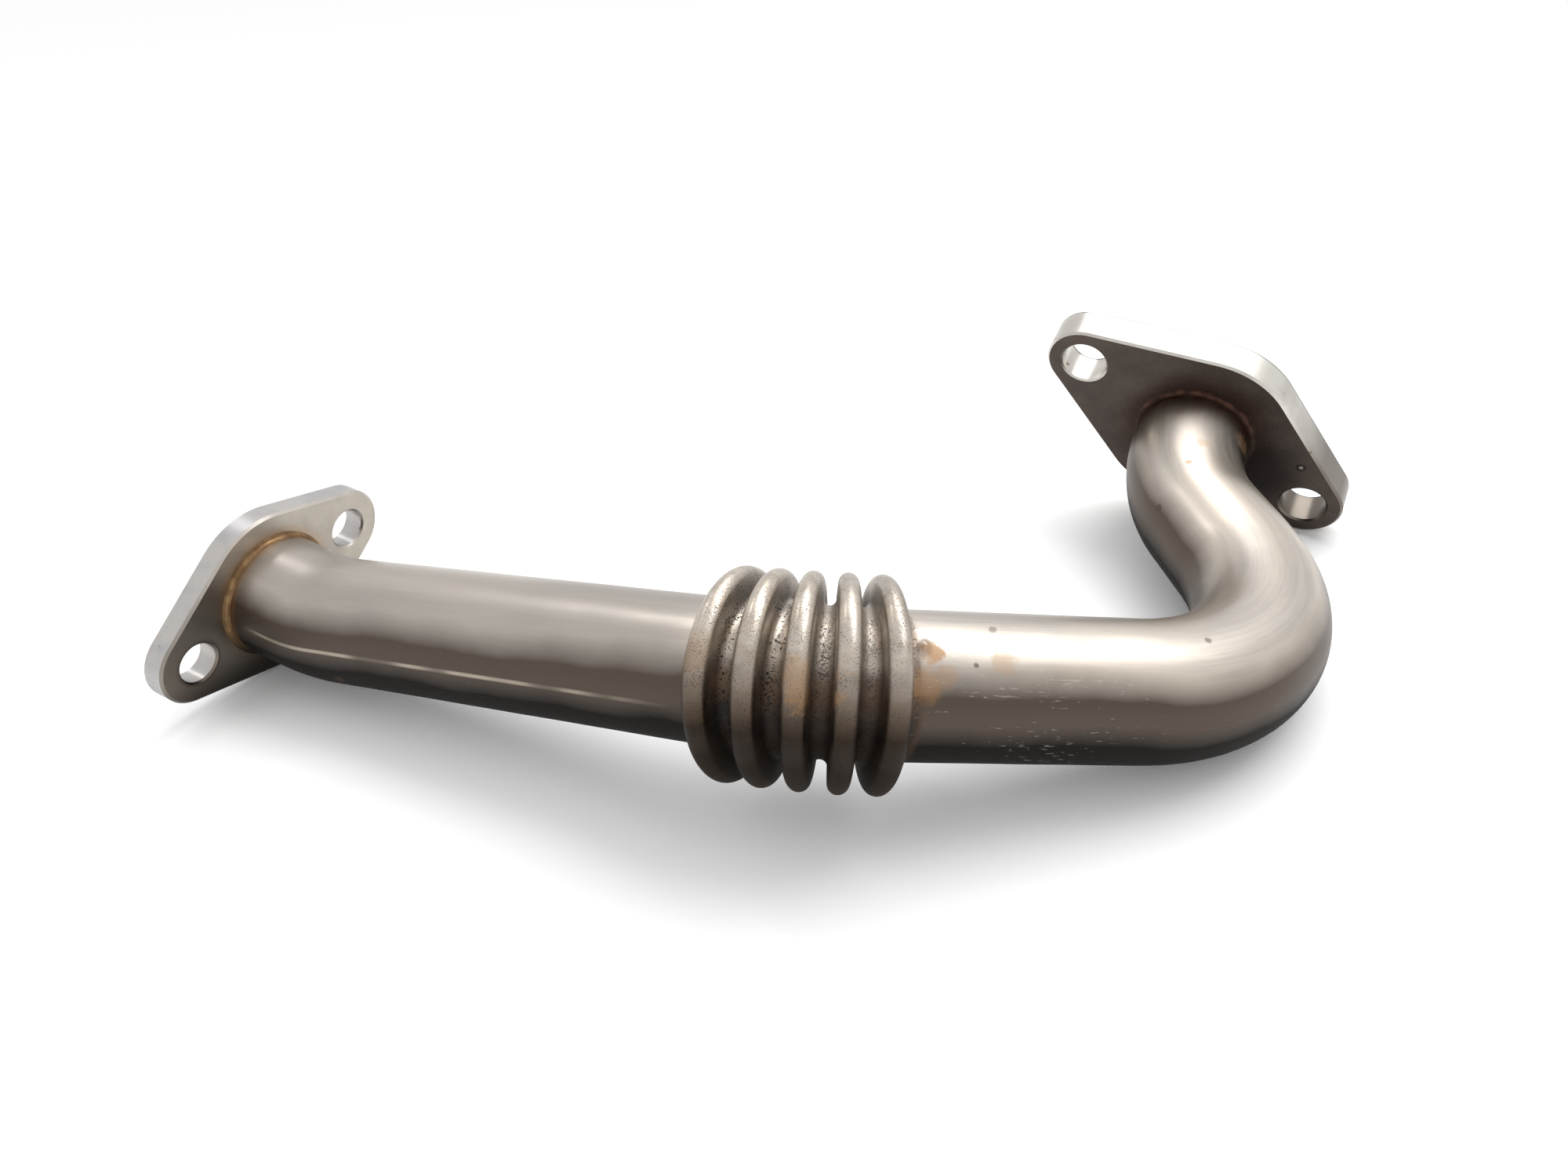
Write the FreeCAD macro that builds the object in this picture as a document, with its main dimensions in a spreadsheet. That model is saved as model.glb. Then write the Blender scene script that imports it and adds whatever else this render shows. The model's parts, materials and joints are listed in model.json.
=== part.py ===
"""Exhaust gas pipe: a bent steel tube with a row of formed folds, brazed into two bolted flanges.

Everything is laid out from the small flange. Its own frame has the tube leaving along +Z from the
face that the tube stands on, and the line through its two bolt holes along X. The tube is then
described as a tube bender does: a straight run, the plane that the bend lies in, the angle of the
bend, the next run. The last step lays the whole pipe down as it rests on a flat surface.
"""
import FreeCAD, Part
import math
import os

import Sketcher

Vector = FreeCAD.Vector
Rotation = FreeCAD.Rotation
Placement = FreeCAD.Placement

# Driving dimensions in millimetres and degrees
DIMENSIONS = [
    ("tube_radius", 12.5, "outside of the tube"),
    ("wall", 0.8, "wall of the tube and of its folds"),
    ("bend_radius", 37.5, "centre line of the plain bends, one and a half tube diameters"),
    ("run_1", 9.5, "straight, small flange to first bend"),
    ("plane_1", 69.5, "direction of first bend, about the tube, from the small flange's hole line"),
    ("angle_1", 16.5, "first bend"),
    ("run_2", 86.0, "straight, first bend to folds"),
    ("plane_2", -40.5, "direction of the bend in the folds"),
    ("angle_2", 38.5, "bend in the folds"),
    ("run_3", 42.5, "straight, folds to third bend"),
    ("plane_3", -7.5, "direction of third bend"),
    ("angle_3", 94.0, "third bend"),
    ("run_4", 13.5, "straight, third bend to last bend"),
    ("plane_4", 139.5, "direction of last bend"),
    ("angle_4", 40.5, "last bend"),
    ("run_5", 3.0, "straight, last bend to large flange"),
    ("folds", 5, "number of folds"),
    ("fold_pitch", 5.75, "fold to fold along the centre line"),
    ("fold_radius", 18.0, "tube's centre line to the crest of a fold"),
    ("fold_half_width", 1.65, "middle of a fold to its flank"),
    ("crest_bevel", 1.0, "softened shoulders of a crest"),
    ("foot_reach", 3.0, "flank of a fold to the end of its sloping foot, along the tube"),
    ("foot_rise", 1.2, "height of a foot"),
    ("foot_sink", 0.25, "how far a foot runs into the wall that it grows out of"),
    ("small_spacing", 42.0, "between the small flange's bolt holes"),
    ("small_half_height", 18.0, "small flange, centre to its side"),
    ("small_side_round", 17.0, "small flange, radius of its side"),
    ("small_lobe", 8.5, "small flange, radius round a bolt hole"),
    ("small_hole", 4.1, "small flange, radius of a bolt hole"),
    ("small_thickness", 5.0, "small flange"),
    ("large_spacing", 60.0, "between the large flange's bolt holes"),
    ("large_half_height", 22.0, "large flange, centre to its side"),
    ("large_side_round", 19.5, "large flange, radius of its side"),
    ("large_lobe", 8.5, "large flange, radius round a bolt hole"),
    ("large_hole", 5.0, "large flange, radius of a bolt hole"),
    ("large_thickness", 8.0, "large flange"),
    ("large_turn", 6.0, "large flange's hole line, about the tube"),
    ("edge_bevel", 0.5, "flange edges"),
    ("hole_chamfer", 0.4, "rims of the bolt holes"),
    ("braze_gap", 0.05, "tube to flange bore, filled by the braze"),
    ("end_recess", 0.5, "tube's end below the face that is bolted on"),
    ("braze_leg", 1.3, "braze fillet along the tube and along the flange"),
    ("braze_land", 0.2, "thin edge of the braze fillet"),
    ("rest_yaw", 59.84, "small flange's frame as the pipe lies, about Z"),
    ("rest_pitch", -12.96, "then about Y"),
    ("rest_roll", 99.92, "then about X"),
]

document = FreeCAD.newDocument("exhaust_gas_pipe")
sizes = document.addObject("Spreadsheet::Sheet", "sizes")
for row, (name, value, meaning) in enumerate(DIMENSIONS, start=1):
    sizes.set(f"A{row}", name)
    sizes.set(f"B{row}", str(value))
    sizes.setAlias(f"B{row}", name)
    sizes.set(f"C{row}", meaning)
document.recompute()


def size(name):
    """The value of one driving dimension."""
    return float(sizes.get(name))


def bind(item, prop, expression):
    """Tie one property to the driving dimensions, each written there by its own name."""
    for name, value, meaning in sorted(DIMENSIONS, key=lambda entry: -len(entry[0])):
        expression = expression.replace(f"[{name}]", f"sizes.{name}")
    item.setExpression(prop, expression)


def along(distance):
    """A step forward along the tube."""
    return Placement(Vector(0, 0, distance), Rotation())


def about_tube(angle):
    """A turn about the tube."""
    return Placement(Vector(), Rotation(Vector(0, 0, 1), angle))


def round_bend(radius, angle):
    """The step from the start of a bend towards +X to a place in it, the given angle further on."""
    swing = Placement(Vector(radius, 0, 0), Rotation(Vector(0, 1, 0), angle))
    return swing * Placement(Vector(-radius, 0, 0), Rotation())


def origin_plane(body, role):
    """One of a body's own three planes."""
    return next(item for item in body.Origin.OriginFeatures if item.Role == role)


def new_sketch(body, name, role="XY_Plane", offset=Placement()):
    """A sketch on one of its body's own planes, moved by an offset."""
    sketch = body.newObject("Sketcher::SketchObject", name)
    sketch.AttachmentSupport = [(origin_plane(body, role), "")]
    sketch.MapMode = "FlatFace"
    sketch.AttachmentOffset = offset
    return sketch


def constrain(sketch, *what, name=None, expression=None):
    """One constraint, and for a dimension its name and the driving dimensions it follows."""
    index = sketch.addConstraint(Sketcher.Constraint(*what))
    if name:
        sketch.renameConstraint(index, name)
        bind(sketch, f"Constraints.{name}", expression)


# A sketch's own numbers for an edge's ends and centre, and for its axes
START, END, CENTRE = range(1, 4)
X_AXIS, Y_AXIS = range(-1, -3, -1)
ORIGIN = (X_AXIS, START)


def line(sketch, start, end):
    """A straight edge between two points of a sketch."""
    return sketch.addGeometry(Part.LineSegment(Vector(*start, 0), Vector(*end, 0)))


def arc(sketch, centre, radius, first, last):
    """A round edge, counter-clockwise between two angles in degrees."""
    circle = Part.Circle(Vector(*centre, 0), Vector(0, 0, 1), radius)
    return sketch.addGeometry(Part.ArcOfCircle(circle, math.radians(first), math.radians(last)))


def circle(sketch, centre, radius):
    """A full circle."""
    return sketch.addGeometry(Part.Circle(Vector(*centre, 0), Vector(0, 0, 1), radius))


def tube_section(body, name, frame, bend_radius=None):
    """The tube's two circles and, for a bend, the line beside them that it turns about."""
    sketch = new_sketch(body, name, offset=frame)
    for label, radius, expression in (
        ("outside", size("tube_radius"), "[tube_radius]"),
        ("inside", size("tube_radius") - size("wall"), "[tube_radius] - [wall]"),
    ):
        ring = circle(sketch, (0, 0), radius)
        constrain(sketch, "Coincident", ring, CENTRE, *ORIGIN)
        constrain(sketch, "Radius", ring, radius, name=label, expression=expression)
    if bend_radius:
        reach, expression = bend_radius
        half = size("tube_radius")
        axis = line(sketch, (reach, -half), (reach, half))
        sketch.toggleConstruction(axis)
        constrain(sketch, "Symmetric", axis, START, axis, END, X_AXIS)
        constrain(sketch, "DistanceX", *ORIGIN, axis, START, reach, name="bend", expression=expression)
        constrain(sketch, "DistanceY", axis, START, axis, END, 2 * half, name="axis",
                  expression="2 * [tube_radius]")
    return sketch


def straight(body, name, frame, length):
    """A straight run of tube. Returns the frame at its far end."""
    run = body.newObject("PartDesign::Pad", name)
    run.Profile = tube_section(body, f"{name}_section", frame)
    bind(run, "Length", length)
    document.recompute()
    return frame * along(run.Length.Value)


def bend(body, name, frame, plane, angle, radius, radius_rule):
    """A bend of the tube. Returns the frame at its far end, and the sketch that holds its axis."""
    towards = about_tube(size(plane))
    section = tube_section(body, f"{name}_section", frame * towards, (radius, radius_rule))
    turn = body.newObject("PartDesign::Revolution", name)
    turn.Profile = section
    turn.ReferenceAxis = (section, ["Axis0"])
    bind(turn, "Angle", angle)
    document.recompute()
    return frame * towards * round_bend(radius, turn.Angle.Value) * towards.inverse(), section


def fold_section(body, name, frame, depth, depth_rule):
    """Half the section of one fold, the depth below its outer skin, with the tube's axis along X.

    A bevelled crest stands on two upright flanks. Each flank ends in a sloping foot, which runs a
    little way into the wall that it grows out of, and together two feet make the round floor of a
    valley. A base inside the wall, or inside the bore, closes the shape.
    """
    sketch = new_sketch(body, name, offset=frame * Placement(
        Vector(), Rotation(Vector(0, 0, 1), Vector(1, 0, 0), Vector(0, 1, 0), "XYZ")))
    reach = size("fold_half_width") + size("foot_reach")
    flank = size("fold_half_width") - depth
    crest = size("fold_radius") - depth
    bevel = size("crest_bevel") - depth * (2 - math.sqrt(2))
    skin = size("tube_radius") - size("foot_sink") - depth
    rise = size("foot_rise")
    base = skin - size("wall") / 2
    right = [(reach, base), (reach, skin), (flank, skin + rise), (flank, crest - bevel),
             (flank - bevel, crest)]
    corners = right + [(-across, height) for across, height in reversed(right)]
    edges = [line(sketch, here, there) for here, there in zip(corners, corners[1:] + corners[:1])]
    for here, there in zip(edges, edges[1:] + edges[:1]):
        constrain(sketch, "Coincident", here, END, there, START)
    for here, opposite in zip(edges[:5], reversed(edges[5:])):
        constrain(sketch, "Symmetric", here, START, opposite, START, Y_AXIS)
    side, foot, upright, shoulder, land = edges[:5]
    constrain(sketch, "Vertical", side)
    constrain(sketch, "Vertical", upright)
    for edge, corner, across, name, expression in (
        (side, START, reach, "reach", "[fold_half_width] + [foot_reach]"),
        (upright, START, flank, "flank", f"[fold_half_width] - {depth_rule}"),
    ):
        constrain(sketch, "DistanceX", *ORIGIN, edge, corner, across, name=name, expression=expression)
    for edge, corner, height, name, expression in (
        (side, START, base, "base", f"[tube_radius] - [foot_sink] - {depth_rule} - [wall] / 2"),
        (side, END, skin, "skin", f"[tube_radius] - [foot_sink] - {depth_rule}"),
        (land, START, crest, "crest", f"[fold_radius] - {depth_rule}"),
    ):
        constrain(sketch, "DistanceY", *ORIGIN, edge, corner, height, name=name, expression=expression)
    constrain(sketch, "DistanceY", foot, START, foot, END, rise, name="rise", expression="[foot_rise]")
    softened = f"[crest_bevel] - {depth_rule} * (2 - sqrt(2))"
    constrain(sketch, "DistanceX", shoulder, END, shoulder, START, bevel, name="inward", expression=softened)
    constrain(sketch, "DistanceY", shoulder, START, shoulder, END, bevel, name="upward", expression=softened)
    return sketch


def round_of_folds(body, name, kind, section, axis_sketch):
    """One fold turned about the tube, then repeated at the pitch round the axis of its bend."""
    fold = body.newObject(kind, name)
    fold.Profile = section
    fold.ReferenceAxis = (section, ["H_Axis"])
    fold.Angle = 360
    document.recompute()
    row = body.newObject("PartDesign::PolarPattern", f"{name}_row")
    row.Originals = [fold]
    row.Axis = (axis_sketch, ["Axis0"])
    row.Mode = "Spacing"
    bind(row, "Offset", "[angle_2] / [folds]")
    bind(row, "Occurrences", "[folds]")
    body.Tip = row
    document.recompute()
    return row


def make_pipe():
    """The bent tube, with hollow folds formed in it. Returns it and the frame at its large end."""
    body = document.addObject("PartDesign::Body", "pipe")
    plain = (size("bend_radius"), "[bend_radius]")
    folded = (
        size("folds") * size("fold_pitch") / math.radians(size("angle_2")),
        "[folds] * [fold_pitch] / [angle_2] * 180 / pi",
    )
    frame = along(size("end_recess") - size("small_thickness"))
    frame = straight(body, "run_from_small", frame, "[small_thickness] - [end_recess] + [run_1]")
    frame, section = bend(body, "first_bend", frame, "plane_1", "[angle_1]", *plain)
    frame = straight(body, "long_run", frame, "[run_2]")
    half_step = size("angle_2") / size("folds") / 2
    first_fold = frame * about_tube(size("plane_2")) * round_bend(folded[0], half_step)
    frame, axis_sketch = bend(body, "folded_bend", frame, "plane_2", "[angle_2]", *folded)
    skin = fold_section(body, "fold_outside", first_fold, 0, "0")
    round_of_folds(body, "fold", "PartDesign::Revolution", skin, axis_sketch)
    hollow = fold_section(body, "fold_inside", first_fold, size("wall"), "[wall]")
    round_of_folds(body, "fold_hollow", "PartDesign::Groove", hollow, axis_sketch)
    frame = straight(body, "middle_run", frame, "[run_3]")
    frame, section = bend(body, "third_bend", frame, "plane_3", "[angle_3]", *plain)
    frame = straight(body, "short_run", frame, "[run_4]")
    frame, section = bend(body, "last_bend", frame, "plane_4", "[angle_4]", *plain)
    large_face = frame * along(size("run_5"))
    straight(body, "run_to_large", frame, "[run_5] + [large_thickness] - [end_recess]")
    return body, large_face


def flange_outline(body, name, which):
    """A lobe round each bolt hole and a flatter arc over each side of the tube, joined by tangents."""
    sketch = new_sketch(body, name)
    reach = size(f"{which}_spacing") / 2
    lobe = size(f"{which}_lobe")
    side = size(f"{which}_side_round")
    rise = size(f"{which}_half_height") - side
    slope = math.degrees(math.atan2(rise, -reach) - math.acos((lobe - side) / math.hypot(reach, rise)))
    corners = []
    for centre, radius, first, last in (
        ((reach, 0), lobe, -slope, slope),
        ((0, rise), side, slope, 180 - slope),
        ((-reach, 0), lobe, 180 - slope, 180 + slope),
        ((0, -rise), side, 180 + slope, 360 - slope),
    ):
        corners.append(arc(sketch, centre, radius, first, last))
    for here, there in zip(corners, corners[1:] + corners[:1]):
        link = Part.LineSegment(sketch.Geometry[here].EndPoint, sketch.Geometry[there].StartPoint)
        tangent = sketch.addGeometry(link)
        constrain(sketch, "Tangent", here, END, tangent, START)
        constrain(sketch, "Tangent", tangent, END, there, START)
    right, top, left, bottom = corners
    constrain(sketch, "PointOnObject", right, CENTRE, X_AXIS)
    constrain(sketch, "Symmetric", right, CENTRE, left, CENTRE, *ORIGIN)
    constrain(sketch, "PointOnObject", top, CENTRE, Y_AXIS)
    constrain(sketch, "Symmetric", top, CENTRE, bottom, CENTRE, *ORIGIN)
    constrain(sketch, "Equal", right, left)
    constrain(sketch, "Equal", top, bottom)
    constrain(sketch, "Radius", right, lobe, name="lobe", expression=f"[{which}_lobe]")
    constrain(sketch, "Radius", top, side, name="side", expression=f"[{which}_side_round]")
    constrain(sketch, "DistanceX", left, CENTRE, right, CENTRE, 2 * reach, name="spacing",
              expression=f"[{which}_spacing]")
    constrain(sketch, "DistanceY", *ORIGIN, top, CENTRE, rise, name="rise",
              expression=f"[{which}_half_height] - [{which}_side_round]")
    return sketch


def flange_holes(body, name, which):
    """The bore that the tube is brazed into, and the two bolt holes."""
    sketch = new_sketch(body, name)
    reach = size(f"{which}_spacing") / 2
    hole = size(f"{which}_hole")
    bore_radius = size("tube_radius") + size("braze_gap")
    bore = circle(sketch, (0, 0), bore_radius)
    right = circle(sketch, (reach, 0), hole)
    left = circle(sketch, (-reach, 0), hole)
    constrain(sketch, "Coincident", bore, CENTRE, *ORIGIN)
    constrain(sketch, "Radius", bore, bore_radius, name="bore", expression="[tube_radius] + [braze_gap]")
    constrain(sketch, "PointOnObject", right, CENTRE, X_AXIS)
    constrain(sketch, "Symmetric", right, CENTRE, left, CENTRE, *ORIGIN)
    constrain(sketch, "DistanceX", left, CENTRE, right, CENTRE, 2 * reach, name="spacing",
              expression=f"[{which}_spacing]")
    constrain(sketch, "Equal", right, left)
    constrain(sketch, "Radius", right, hole, name="hole", expression=f"[{which}_hole]")
    return sketch


def edge_names(shape, wanted):
    """Names of the edges that a test picks out."""
    return [f"Edge{number}" for number, edge in enumerate(shape.Edges, start=1) if wanted(edge)]


def lies_flat(edge):
    """Whether an edge lies in one of the flange's two faces."""
    return edge.BoundBox.ZLength < Part.Precision.confusion() + edge.Tolerance * 2


def make_flange(name, which):
    """A two-bolt flange: the tube leaves along +Z from its upper face, and -Z is bolted on."""
    body = document.addObject("PartDesign::Body", name)
    plate = body.newObject("PartDesign::Pad", f"{name}_plate")
    plate.Profile = flange_outline(body, f"{name}_outline", which)
    plate.Reversed = True
    bind(plate, "Length", f"[{which}_thickness]")
    document.recompute()
    soft_edges = body.newObject("PartDesign::Chamfer", f"{name}_edges")
    soft_edges.Base = (plate, edge_names(plate.Shape, lies_flat))
    bind(soft_edges, "Size", "[edge_bevel]")
    holes = body.newObject("PartDesign::Pocket", f"{name}_cuts")
    holes.Profile = flange_holes(body, f"{name}_holes", which)
    holes.Type = "ThroughAll"
    document.recompute()

    def rims(edge):
        return edge.Closed and abs(edge.Curve.Radius - size(f"{which}_hole")) < size("braze_gap")

    chamfers = body.newObject("PartDesign::Chamfer", f"{name}_rims")
    chamfers.Base = (holes, edge_names(holes.Shape, rims))
    bind(chamfers, "Size", "[hole_chamfer]")
    document.recompute()
    return body


def make_braze(name):
    """The ring of braze in the corner between the tube and a flange's upper face."""
    body = document.addObject("PartDesign::Body", name)
    sketch = new_sketch(body, f"{name}_section", role="XZ_Plane")
    near = size("tube_radius")
    leg = size("braze_leg")
    land = size("braze_land")
    floor = line(sketch, (near, 0), (near + leg, 0))
    toe = line(sketch, (near + leg, 0), (near + leg, land))
    face = line(sketch, (near + leg, land), (near + land, leg))
    lip = line(sketch, (near + land, leg), (near, leg))
    wall = line(sketch, (near, leg), (near, 0))
    constrain(sketch, "Coincident", floor, END, toe, START)
    constrain(sketch, "Coincident", toe, END, face, START)
    constrain(sketch, "Coincident", face, END, lip, START)
    constrain(sketch, "Coincident", lip, END, wall, START)
    constrain(sketch, "Coincident", wall, END, floor, START)
    constrain(sketch, "Horizontal", floor)
    constrain(sketch, "Horizontal", lip)
    constrain(sketch, "Vertical", toe)
    constrain(sketch, "Vertical", wall)
    constrain(sketch, "PointOnObject", floor, START, X_AXIS)
    constrain(sketch, "DistanceX", *ORIGIN, floor, START, near, name="tube", expression="[tube_radius]")
    constrain(sketch, "DistanceX", floor, START, floor, END, leg, name="floor", expression="[braze_leg]")
    constrain(sketch, "DistanceY", wall, END, wall, START, leg, name="height", expression="[braze_leg]")
    constrain(sketch, "DistanceY", toe, START, toe, END, land, name="toe", expression="[braze_land]")
    constrain(sketch, "DistanceX", lip, END, lip, START, land, name="lip", expression="[braze_land]")
    ring = body.newObject("PartDesign::Revolution", f"{name}_ring")
    ring.Profile = sketch
    ring.ReferenceAxis = (sketch, ["V_Axis"])
    ring.Angle = 360
    document.recompute()
    return body


def lay_down(places):
    """Put each sub-part in its place, turned as the pipe rests and stood on Z = 0.

    The origin is below the middle of the whole pipe's box, at its lowest point.
    """
    rest = Placement(Vector(), Rotation(size("rest_yaw"), size("rest_pitch"), size("rest_roll")))
    box = FreeCAD.BoundBox()
    for body, place in places:
        body.Placement = rest * place
        box.add(body.Shape.optimalBoundingBox(False, False))
    to_origin = Placement(Vector(-box.Center.x, -box.Center.y, -box.ZMin), Rotation())
    for body, place in places:
        body.Placement = to_origin * rest * place
    document.recompute()


def check(places):
    """Stop if anything in the document failed, or a sub-part isn't one closed solid."""
    for item in document.Objects:
        if {"Invalid", "Error"} & set(item.State):
            raise RuntimeError(f"{item.Name}: {item.State}")
    for body, place in places:
        shape = body.Shape
        if shape.isNull() or not shape.isValid() or len(shape.Solids) != 1:
            raise RuntimeError(f"{body.Label} is not one valid solid")


pipe, large_face = make_pipe()
large_seat = large_face * about_tube(size("large_turn")) * Placement(
    Vector(), Rotation(Vector(1, 0, 0), 180))
places = [
    (pipe, Placement()),
    (make_flange("small_flange", "small"), Placement()),
    (make_flange("large_flange", "large"), large_seat),
    (make_braze("small_braze"), Placement()),
    (make_braze("large_braze"), large_seat),
]
lay_down(places)
check(places)

os.makedirs("parts", exist_ok=True)
for body, place in places:
    body.Shape.exportStep(f"parts/{body.Label}.step")
    print(body.Label, round(body.Shape.Volume), "mm3")
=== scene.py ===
"""Dress the exhaust gas pipe: formed tube, brazed joints and two flanges, on a pale floor."""

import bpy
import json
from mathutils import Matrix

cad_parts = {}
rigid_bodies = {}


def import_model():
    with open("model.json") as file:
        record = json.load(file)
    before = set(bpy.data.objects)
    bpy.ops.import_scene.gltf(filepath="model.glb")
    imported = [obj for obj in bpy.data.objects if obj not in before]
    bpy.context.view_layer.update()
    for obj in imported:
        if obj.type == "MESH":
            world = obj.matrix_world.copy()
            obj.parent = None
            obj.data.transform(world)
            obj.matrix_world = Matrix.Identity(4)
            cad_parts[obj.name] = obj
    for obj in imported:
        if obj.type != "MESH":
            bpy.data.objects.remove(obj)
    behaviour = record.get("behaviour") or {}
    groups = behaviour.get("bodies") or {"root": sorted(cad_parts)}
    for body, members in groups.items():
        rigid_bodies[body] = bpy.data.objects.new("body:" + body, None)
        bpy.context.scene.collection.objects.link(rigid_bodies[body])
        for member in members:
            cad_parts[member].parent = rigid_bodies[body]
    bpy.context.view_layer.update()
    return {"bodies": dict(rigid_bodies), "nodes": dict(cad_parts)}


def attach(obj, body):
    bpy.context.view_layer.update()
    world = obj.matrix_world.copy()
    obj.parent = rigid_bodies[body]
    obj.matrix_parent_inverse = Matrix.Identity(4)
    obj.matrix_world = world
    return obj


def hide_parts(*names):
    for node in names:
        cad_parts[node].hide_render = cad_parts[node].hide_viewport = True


bl_info = {
    "name": "Exhaust gas pipe",
    "version": (1, 0, 0),
    "blender": (4, 5, 0),
    "location": "3D View > Sidebar > Pipe",
    "description": "Shapes and finishes a bent steel pipe with formed folds and two bolted flanges",
    "category": "Add Mesh",
}

import json
import math

import bpy
import numpy as np
from bpy.props import FloatProperty, FloatVectorProperty, IntProperty, PointerProperty
from mathutils import Matrix, Vector

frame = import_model()

MM = 0.001

# How the large flange is turned about the tube's end, and how far the tube stands in it
LARGE_TURN = math.radians(6.0)
LARGE_DEPTH = 7.5 * MM
# Leg of the braze along tube and flange, its unevenness, and points round the tube
BRAZE_LEG = 0.9 * MM
BRAZE_WOBBLE = 0.08
BRAZE_AROUND = 144
# Share of the leg that the ring's face is dug out, and how far its back sinks in tube and flange
BRAZE_HOLLOW = 0.92
BRAZE_SUNK = (0.1, 0.02)
# Length along the tube, angle round it, radius and height of each spatter of weld metal
SPATTER = ((140.9 * MM, math.radians(101.0), 0.85 * MM, 0.8 * MM),)
# Places of the finer rows round a spatter
SPATTER_ROWS = np.linspace(-2, 2, 17) * MM
# Rows of the tube's outer and inner skin: steps on bends and on runs, and points to half a crest
OUTER_ROWS = (1.6 * MM, 1.0 * MM, 9)
INNER_ROWS = (3.0 * MM, 6.0 * MM, 5)
# Rounding of the edges at the tube's two ends
LIP = 0.12 * MM
# The row of folds is the second bend, and this piece of the tube's line
FOLDED_BEND = 1
FOLDED_PIECE = 2 * FOLDED_BEND + 1


def metres(name, description, default, **others):
    """A setting in metres."""
    return FloatProperty(name=name, description=description, default=default, unit="LENGTH",
                         **others)


def direction(name, description, default):
    """A setting that holds a direction."""
    return FloatVectorProperty(name=name, description=description, default=default,
                               subtype="DIRECTION")


def location(name, description, default):
    """A setting that holds a place."""
    return FloatVectorProperty(name=name, description=description, default=default,
                               subtype="TRANSLATION", unit="LENGTH")


def degrees(name, description, angles):
    """A setting that holds angles."""
    return FloatVectorProperty(name=name, description=description, size=len(angles),
                               default=[math.radians(a) for a in angles], unit="ROTATION")


def tint(name, description, default):
    """A setting that holds a colour."""
    return FloatVectorProperty(name=name, description=description, default=default, size=3,
                               min=0, max=1, subtype="COLOR")


def watts(name, description, default):
    """A setting that holds a lamp's power."""
    return FloatProperty(name=name, description=description, default=default, unit="POWER")


class TubeSizes(bpy.types.PropertyGroup):
    """Where the tube starts, and its runs and bends in the order that a tube bender makes them."""

    seat: location("Small seat", "Centre of the small flange's face on the tube's side",
                   (-0.1072864, 0.0048416, 0.0176265))
    hole_line: direction("Small hole line", "Direction of the small flange's line of holes",
                         (0.489618, 0.842601, 0.224271))
    leaving: direction("Leaving", "Direction in which the tube leaves the small flange",
                       (0.871110, -0.461499, -0.167885))
    depth: metres("Depth in flange", "How far the tube's end lies behind that face", 0.0045)
    runs: FloatVectorProperty(
        name="Runs", description="Straight runs between the bends", size=5,
        default=(0.014, 0.086, 0.0425, 0.0135, 0.0105), unit="LENGTH")
    planes: degrees("Planes", "Direction of each bend, about the tube", (69.5, -40.5, -7.5, 139.5))
    angles: degrees("Angles", "Angle of each bend", (16.5, 38.5, 94.0, 40.5))
    bend_radius: metres("Bend radius", "Centre line of the plain bends", 0.0375)
    radius: metres("Tube radius", "Outside of the tube", 0.0125)
    wall: metres("Wall", "Wall of the tube", 0.0008)
    around: IntProperty(
        name="Around", description="Faces round the tube", default=160, min=24, max=220)
    unevenness: metres("Unevenness", "Depth of the faint waves that bending leaves in the skin",
                       0.00006, precision=5)


class FoldSizes(bpy.types.PropertyGroup):
    """The row of folds in the second bend."""

    count: IntProperty(name="Folds", description="Number of folds", default=5, min=1)
    pitch: metres("Pitch", "Fold to fold along the centre line", 0.00575)
    radius: metres("Crest radius", "Tube's centre line to a crest", 0.018)
    crest: metres("Crest rounding", "Half width and rounding of a crest", 0.00165)
    root: metres("Root rounding", "Rounding of a valley's floor", 0.0011)
    evenness: FloatProperty(
        name="Evenness", description="1 keeps a crest equally wide all the way round the bend",
        default=0.8, min=0.0, max=1.0)


class SteelLook(bpy.types.PropertyGroup):
    """Colours and gloss of the steel, its heat tint, its painted shade and its dirt."""

    bright: tint("Bright steel", "Clean side of the tube", (0.56, 0.495, 0.42))
    dull: tint("Dull steel", "Duller patches of the tube", (0.37, 0.34, 0.31))
    # Painted shade: the next two colours darken the tube where it faces sideways and down
    side: tint("Side shade", "Darker brown-grey of the tube's sides", (0.095, 0.074, 0.060))
    under: tint("Underside shade", "Nearly black underside of the tube", (0.012, 0.010, 0.009))
    straw: tint("Heat tint", "Straw to brown tint beside the brazed joints", (0.42, 0.21, 0.07))
    rust: tint("Rust", "Orange rust stains", (0.40, 0.20, 0.065))
    grime: tint("Grime", "Brown film in the valleys", (0.075, 0.046, 0.030))
    soot: tint("Soot", "Black specks, and the inside of the tube", (0.012, 0.010, 0.009))
    # Partly heat darkening and partly painted shade on the large flange's face
    cast: tint("Large flange face", "Heat-darkened face of the large flange", (0.075, 0.058, 0.050))
    gloss: FloatProperty(
        name="Roughness", description="Roughness of the clean tube", default=0.27, min=0, max=1)


class StageSizes(bpy.types.PropertyGroup):
    """Camera, lamps and floor."""

    eye: location("Camera", "Place of the camera", (0.00367, -0.20291, 0.14068))
    right: direction("Camera right", "Direction of the picture's right side",
                     (0.998469, 0.0, -0.055308))
    ahead: direction("Camera ahead", "Direction in which the camera looks",
                     (-0.028982, 0.851712, -0.523208))
    lens: FloatProperty(
        name="Lens", description="Focal length for a 36 mm wide sensor, in mm", default=27.357)
    floor: tint("Floor", "Colour of the floor", (0.90, 0.90, 0.90))
    key: watts("Overhead lamp", "Power of the overhead softbox", 3.0)
    fill: watts("Side lamp", "Power of the small softbox at the side", 0.25)
    ambient: FloatProperty(
        name="Ambient", description="Strength of the surrounding light on dull surfaces",
        default=0.98, min=0)


# Paths and surfaces


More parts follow.
